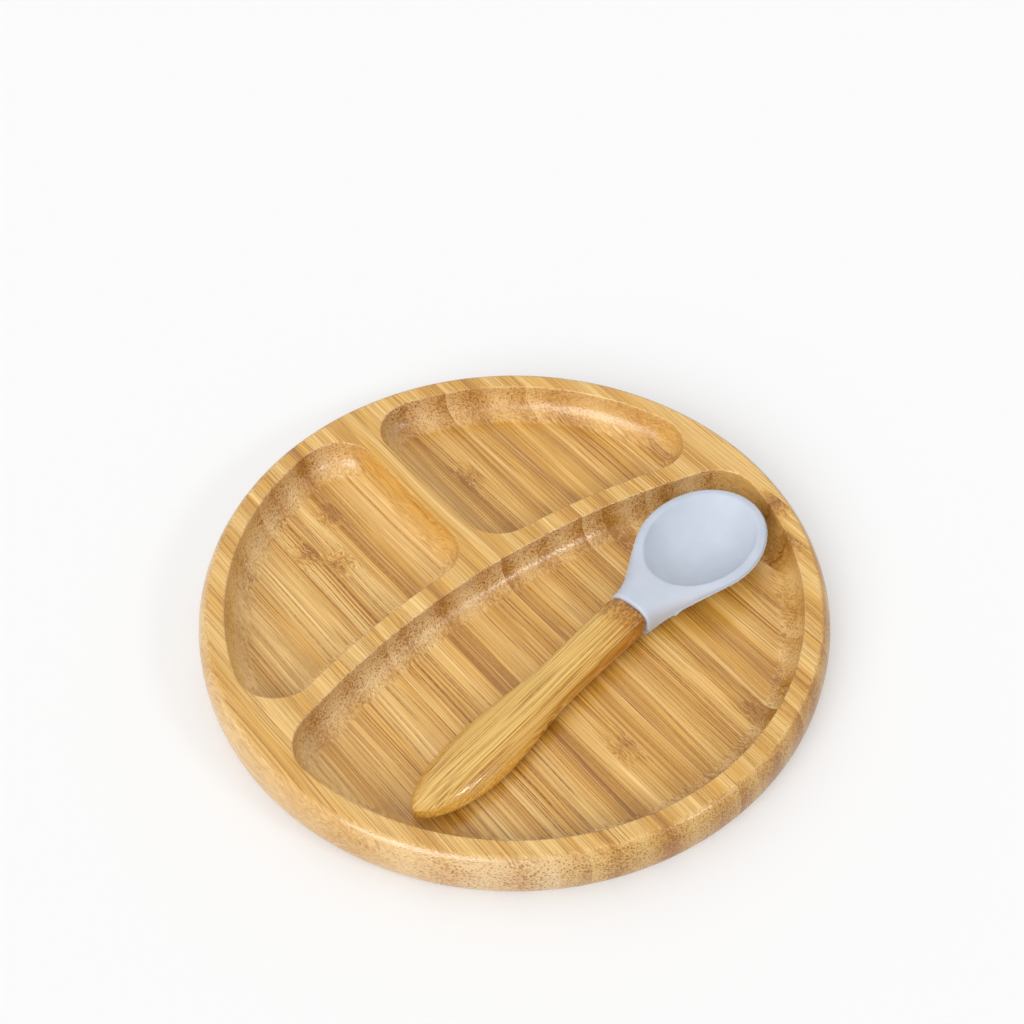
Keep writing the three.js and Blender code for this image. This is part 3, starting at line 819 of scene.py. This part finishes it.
def bamboo_material(name, group, number, plate, finishes):
    """A strip's bamboo: the shared grain with this strip's own tone, fibre, dense side and knuckle, oiled
    to a satin. The share across the strip runs from 0 on its sparse side to 1 on its dense side. Less
    fibre shows on the rim than in the pockets. The large pocket and the one behind it on the right are a
    little browner below the rim, which is painted shade of their walls. The outer side is sanded end grain,
    with painted light making its left part paler and painted shade making it browner from the sixth strip on."""
    tone, fibre, lean, knuckle, strength = STRIP_LOOKS[number]
    last_painted_light, painted_shade_over = 4, 3
    material, tree, surface = new_material(name)
    place = put(tree, "ShaderNodeTexCoord").outputs["Object"]
    normal = put(tree, "ShaderNodeNewGeometry").outputs["Normal"]
    facing = put(tree, "ShaderNodeSeparateXYZ", {0: normal}).outputs
    aside, along, height = put(tree, "ShaderNodeSeparateXYZ", {0: place}).outputs
    milled = ramp(tree, height, plate.height - 0.0005, plate.height - 0.003)
    # Painted shade: below the rim, the large pocket and the pocket behind it on the right are browner, as if
    # in the shade of their walls.
    painted_pocket_shade = ramp(tree, height, plate.height - 0.001, plate.height - 0.006)
    middle = number - (len(STRIP_LOOKS) - 1) / 2
    painted_shade_behind = 1.5 if middle > 0 else 0.0
    shade_by_pocket = ramp(tree, along, plate.divider_crest, plate.divider_crest - 0.012, painted_shade_behind)
    painted_pocket_shade = sums(tree, "MULTIPLY", painted_pocket_shade, shade_by_pocket)
    flat = vectors(tree, "MULTIPLY", place, (1, 1, 0))
    radius = put(tree, "ShaderNodeVectorMath", {0: flat}, operation="LENGTH").outputs["Value"]
    top_edge = plate.diameter / 2 - plate.side_bulge
    outer = ramp(tree, radius, top_edge - 0.0006, top_edge + 0.0004)
    # Painted light and painted shade on the outer side: its first five strips take the paler colour, which
    # fades over the next three into the browner one. Right of the middle, its tone falls further strip by
    # strip, as more painted shade.
    darker_share = min(max((number - last_painted_light) / painted_shade_over, 0.0), 1.0)
    sides = zip(finishes.side_painted_light, finishes.side_painted_shade)
    side = [(1 - darker_share) * left + darker_share * right for left, right in sides]
    toned = sums(tree, "MULTIPLY_ADD", outer, -0.5 * darker_share - 0.2 * max(middle, 0.0), tone)
    cut = sums(tree, "MAXIMUM", sums(tree, "ABSOLUTE", facing[1]), sums(tree, "MULTIPLY", outer, 0.35))
    values = {
        "Place": place, "Seed": 1.37 * (number + 1), "Tone": sums(tree, "MULTIPLY_ADD", painted_pocket_shade, -0.4, toned),
        "Fibre Share": sums(tree, "MULTIPLY_ADD", milled, 0.35 * fibre, 0.65 * fibre),
        "Dense": sums(tree, "MULTIPLY_ADD", aside, lean / plate.strip_width, 0.5 - lean * middle),
        "Knuckle": knuckle, "Knuckle Strength": strength, "End Grain": cut,
        "Flank": ramp(tree, sums(tree, "ABSOLUTE", facing[0]), 0.2, 0.7),
        "Pale": finishes.bamboo_pale, "Honey": finishes.bamboo_honey, "Brown": finishes.bamboo_brown,
        # On the outer side, the end grain's ground is that colour of painted light and painted shade.
        "Fibre": finishes.fibre, "End": blend(tree, outer, finishes.bamboo_end, side),
    }
    grain = put(tree, "ShaderNodeGroup", values, node_tree=group)
    bumped(tree, surface, grain.outputs["Height"], 0.5, 0.00008)
    tree.links.new(grain.outputs["Color"], surface.inputs["Base Color"])
    tree.links.new(grain.outputs["Roughness"], surface.inputs["Roughness"])
    surface.inputs["Specular IOR Level"].default_value = 0.65
    return material


def handle_material(group, finishes, spoon):
    """The handle's bamboo: the shared grain turned along the handle, yellower and glossier. The side
    facets at the butt cut the fibres into short pale cells, the sides carry painted shade that browns them
    towards the neck, and there is dark end grain where the neck is rounded over into the silicone."""
    material, tree, surface = new_material("handle_bamboo")
    place = put(tree, "ShaderNodeTexCoord").outputs["Object"]
    turn = math.pi / 2 - spoon.turn
    cos, sin, tip = math.cos(turn), math.sin(turn), spoon.tip
    links = {
        "Vector": place, "Rotation": (0, 0, turn), "Scale": (1, 1, 0.3),
        "Location": (-(cos * tip[0] - sin * tip[1]), -(sin * tip[0] + cos * tip[1]), 0.0),
    }
    lengthwise = put(tree, "ShaderNodeMapping", links).outputs[0]
    aside, from_tip = put(tree, "ShaderNodeSeparateXYZ", {0: lengthwise}).outputs[:2]
    normal = put(tree, "ShaderNodeNewGeometry").outputs["Normal"]
    upward = put(tree, "ShaderNodeSeparateXYZ", {0: normal}).outputs[2]
    length = spoon.handle_length
    stretch = (1.3, 0.6, 1.0)
    ragged = noise(tree, lengthwise, (900, 240, 900))
    near_neck = sums(tree, "MULTIPLY_ADD", ragged, 0.010, from_tip)
    end_grain = ramp(tree, near_neck, length - 0.0060, length + 0.0030)
    values = {
        "Place": vectors(tree, "MULTIPLY", lengthwise, stretch), "Seed": 31.7, "Tone": 0.3,
        "Fibre Share": 1.0, "Dense": sums(tree, "MULTIPLY_ADD", aside, 0.5 / spoon.butt_width, 0.45),
        "Knuckle": stretch[1] * (length + 0.001), "Knuckle Strength": 0.4, "End Grain": end_grain,
        "Pale": finishes.handle_straw, "Honey": finishes.handle_gold, "Brown": finishes.handle_amber,
        "Fibre": finishes.handle_fibre, "End": finishes.handle_gold,
    }
    grain = put(tree, "ShaderNodeGroup", values, node_tree=group)
    dashes = noise(tree, lengthwise, (2200, 700, 5000), 2.0, 0.6)
    mottle = sums(tree, "MULTIPLY", ramp(tree, dashes, 0.46, 0.57), sums(tree, "MULTIPLY", end_grain, 0.9))
    facet = sums(tree, "MULTIPLY", ramp(tree, upward, 0.80, 0.45), ramp(tree, from_tip, 0.042, 0.022))
    links = {"Vector": vectors(tree, "MULTIPLY", lengthwise, (1300, 1100, 5000)), "Scale": 1.0}
    cell = put(tree, "ShaderNodeTexVoronoi", links).outputs["Distance"]
    cells = blend(tree, ramp(tree, cell, 0.22, 0.60), finishes.handle_straw, finishes.handle_gold)
    toned = blend(tree, sums(tree, "MULTIPLY", facet, 0.75), grain.outputs["Color"], cells)
    # Painted shade: faces of the handle that turn away from the top are browner, more so towards the neck.
    side = sums(tree, "MULTIPLY", ramp(tree, upward, 0.75, 0.25), ramp(tree, from_tip, 0.045, 0.075))
    side = sums(tree, "MULTIPLY", side, 0.45)
    # The amber share is the larger of the dark end grain at the neck and the painted shade on the sides.
    darker_share = sums(tree, "MAXIMUM", sums(tree, "MULTIPLY", end_grain, 0.25), side)
    toned = blend(tree, darker_share, toned, finishes.handle_amber)
    tree.links.new(blend(tree, mottle, toned, finishes.fibre), surface.inputs["Base Color"])
    glossy = sums(tree, "SUBTRACT", grain.outputs["Roughness"], 0.13)
    tree.links.new(glossy, surface.inputs["Roughness"])
    bumped(tree, surface, grain.outputs["Height"], 0.3, 0.00006)
    return material


def silicone_material(finishes):
    """Matte moulded silicone: a faint paler bloom in soft clouds, a fine moulded texture, and a little
    light carried under the skin."""
    material, tree, surface = new_material("silicone")
    place = put(tree, "ShaderNodeTexCoord").outputs["Object"]
    cloud = noise(tree, place, (130, 130, 130), 3.0)
    skin = noise(tree, place, (5200, 5200, 5200))
    bloom = blend(tree, ramp(tree, cloud, 0.35, 0.75), finishes.silicone, finishes.silicone_dust)
    tree.links.new(bloom, surface.inputs["Base Color"])
    tree.links.new(sums(tree, "MULTIPLY_ADD", skin, 0.12, 0.50), surface.inputs["Roughness"])
    bumped(tree, surface, skin, 0.25, 0.00002)
    surface.inputs["Specular IOR Level"].default_value = 0.4
    surface.inputs["Subsurface Weight"].default_value = 0.2
    surface.inputs["Subsurface Radius"].default_value = (0.002, 0.0022, 0.0028)
    surface.inputs["Subsurface Scale"].default_value = 1.0
    return material


def grain_group():
    """The shared bamboo grain, made the first time that it is asked for."""
    return bpy.data.node_groups.get("bamboo_grain") or bamboo_group()


# Stage

# What the camera, a reflection or glass sees where nothing stands.
BACKGROUND = (0.96, 0.96, 0.96, 1.0)


def background_rays(tree):
    """One for rays that see the background: from the camera, in a reflection or through glass."""
    rays = put(tree, "ShaderNodeLightPath").outputs
    seen = sums(tree, "MAXIMUM", rays["Is Camera Ray"], rays["Is Glossy Ray"])
    return sums(tree, "MAXIMUM", seen, rays["Is Transmission Ray"])


def lay_floor(scene, finishes):
    """A matte square floor, 8 m across. It is duller for the light that it throws back on the plate, and
    a share of what is seen of it is the background's own white."""
    material, tree, surface = new_material("studio_floor")
    thrown_back = put(tree, "ShaderNodeLightPath").outputs["Is Diffuse Ray"]
    dulled = blend(tree, thrown_back, finishes.floor, (0.70, 0.70, 0.70, 1))
    tree.links.new(dulled, surface.inputs["Base Color"])
    surface.inputs["Roughness"].default_value = 0.9
    surface.inputs["Specular IOR Level"].default_value = 0.0
    white = put(tree, "ShaderNodeEmission", {"Color": BACKGROUND, "Strength": 1.0})
    seen = sums(tree, "MULTIPLY", background_rays(tree), 0.3)
    mixed = put(tree, "ShaderNodeMixShader", {0: seen, 1: surface.outputs[0], 2: white.outputs[0]})
    tree.links.new(mixed.outputs[0], tree.nodes["Material Output"].inputs["Surface"])
    mesh = bpy.data.meshes.new("studio_floor")
    mesh.from_pydata([(-4, -4, 0), (4, -4, 0), (4, 4, 0), (-4, 4, 0)], [], [(0, 1, 2, 3)])
    mesh.materials.append(material)
    floor = bpy.data.objects.new("studio_floor", mesh)
    scene.collection.objects.link(floor)


def stand_camera(scene, studio):
    """The photograph's view: the camera stands at the eye, tilted down by the pitch and turned by the yaw."""
    lens = bpy.data.cameras.new("photo_view")
    lens.sensor_width = 36
    lens.lens = studio.lens
    lens.shift_x = studio.shift
    camera = bpy.data.objects.new("photo_view", lens)
    camera.location = studio.eye
    camera.rotation_euler = (math.pi / 2 - studio.pitch, 0, -studio.yaw)
    scene.collection.objects.link(camera)
    scene.camera = camera


def hang_lights(scene, studio):
    """Three soft suns, each with its strength and with its spread, tilt and turn in degrees."""
    for name, strength, spread, tilt, turn in (
        ("left_window", studio.left_window, 40, 58, 291),
        ("right_window", studio.right_window, 12, 57, 21),
        ("overhead", studio.overhead, 60, 20, 215),
    ):
        lamp = bpy.data.lights.new(name, "SUN")
        lamp.energy = strength
        lamp.angle = math.radians(spread)
        light = bpy.data.objects.new(name, lamp)
        light.rotation_euler = (math.radians(tilt), 0, math.radians(turn))
        scene.collection.objects.link(light)


def light_sky(scene, studio):
    """A white sky that grows brighter towards one side, the plain background where it is seen."""
    world = bpy.data.worlds.new("studio_light")
    world.use_nodes = True
    tree = world.node_tree
    tree.nodes.clear()
    links = {0: put(tree, "ShaderNodeTexCoord").outputs["Generated"], 1: (0.55, 0.45, 0.70)}
    leaning = put(tree, "ShaderNodeVectorMath", links, operation="DOT_PRODUCT").outputs["Value"]
    light = sums(tree, "MULTIPLY_ADD", leaning, studio.sky * studio.sky_lean, studio.sky)
    lit = put(tree, "ShaderNodeBackground", {"Color": (1, 1, 1, 1), "Strength": light}).outputs[0]
    seen = put(tree, "ShaderNodeBackground", {"Color": BACKGROUND, "Strength": 1.0}).outputs[0]
    mixed = put(tree, "ShaderNodeMixShader", {0: background_rays(tree), 1: lit, 2: seen})
    put(tree, "ShaderNodeOutputWorld", {"Surface": mixed.outputs[0]})
    scene.world = world


# Operators


class PLATE_OT_strips(bpy.types.Operator):
    """Build the plate's board and part it into its glued bamboo strips"""

    bl_idname = "bamboo_plate.strips"
    bl_label = "Bamboo strips"

    def execute(self, context):
        plate, finishes = context.scene.plate_sizes, context.scene.plate_finishes
        group = grain_group()
        count = len(STRIP_LOOKS)
        made = list(part_into_strips(plate_board(plate), plate, count))
        if len(made) != count or not all(len(strip.faces) for strip in made):
            raise RuntimeError("The board doesn't part into its strips.")
        for number, strip in enumerate(made):
            label = f"strip_{number + 1:02d}"
            material = bamboo_material(label, group, number, plate, finishes)
            finished_piece(strip, label, f"bamboo_{label}", "plate", material, 35)
        return {"FINISHED"}


class PLATE_OT_handle(bpy.types.Operator):
    """Build the spoon's carved bamboo handle with the tongue that the silicone hides"""

    bl_idname = "bamboo_plate.handle"
    bl_label = "Spoon handle"

    def execute(self, context):
        spoon, finishes = context.scene.spoon_sizes, context.scene.plate_finishes
        material = handle_material(grain_group(), finishes, spoon)
        finished_piece(handle_shell(spoon), "carved_handle", "spoon_handle", "spoon", material, 50)
        return {"FINISHED"}


class PLATE_OT_head(bpy.types.Operator):
    """Build the spoon's moulded silicone head with its socket"""

    bl_idname = "bamboo_plate.head"
    bl_label = "Spoon head"

    def execute(self, context):
        spoon, finishes = context.scene.spoon_sizes, context.scene.plate_finishes
        material = silicone_material(finishes)
        finished_piece(head_shell(spoon), "moulded_head", "spoon_head", "spoon", material, 50)
        return {"FINISHED"}


class PLATE_OT_stage(bpy.types.Operator):
    """Set up the pale floor, the soft studio light and the camera"""

    bl_idname = "bamboo_plate.stage"
    bl_label = "Studio"

    def execute(self, context):
        scene = context.scene
        lay_floor(scene, scene.plate_finishes)
        stand_camera(scene, scene.plate_studio)
        hang_lights(scene, scene.plate_studio)
        light_sky(scene, scene.plate_studio)
        scene.view_settings.view_transform = "Standard"
        return {"FINISHED"}


class PLATE_PT_panel(bpy.types.Panel):
    """Lists the plate's pieces and sizes in the sidebar"""

    bl_idname = "PLATE_PT_panel"
    bl_label = "Divided bamboo plate"
    bl_space_type = "VIEW_3D"
    bl_region_type = "UI"
    bl_category = "Plate"

    def draw(self, context):
        for operator in OPERATORS:
            self.layout.operator(operator.bl_idname)
        for name in GROUPS:
            settings = getattr(context.scene, name)
            box = self.layout.box()
            for prop in settings.__annotations__:
                box.prop(settings, prop)


OPERATORS = (PLATE_OT_strips, PLATE_OT_handle, PLATE_OT_head, PLATE_OT_stage)
GROUPS = {
    "plate_sizes": PlateSizes, "spoon_sizes": SpoonSizes, "plate_finishes": Finishes, "plate_studio": Studio,
}


def register():
    """Registers the classes and hangs the settings on the scene."""
    for kind in (*GROUPS.values(), *OPERATORS, PLATE_PT_panel):
        bpy.utils.register_class(kind)
    for name, kind in GROUPS.items():
        setattr(bpy.types.Scene, name, PointerProperty(type=kind))


def unregister():
    """Takes the settings off the scene and unregisters the classes."""
    for name in GROUPS:
        delattr(bpy.types.Scene, name)
    for kind in (PLATE_PT_panel, *reversed(OPERATORS), *reversed(GROUPS.values())):
        bpy.utils.unregister_class(kind)


def main():
    """Builds every piece and the stage."""
    register()
    bpy.ops.bamboo_plate.strips()
    bpy.ops.bamboo_plate.handle()
    bpy.ops.bamboo_plate.head()
    bpy.ops.bamboo_plate.stage()


if __name__ == "__main__":
    main()
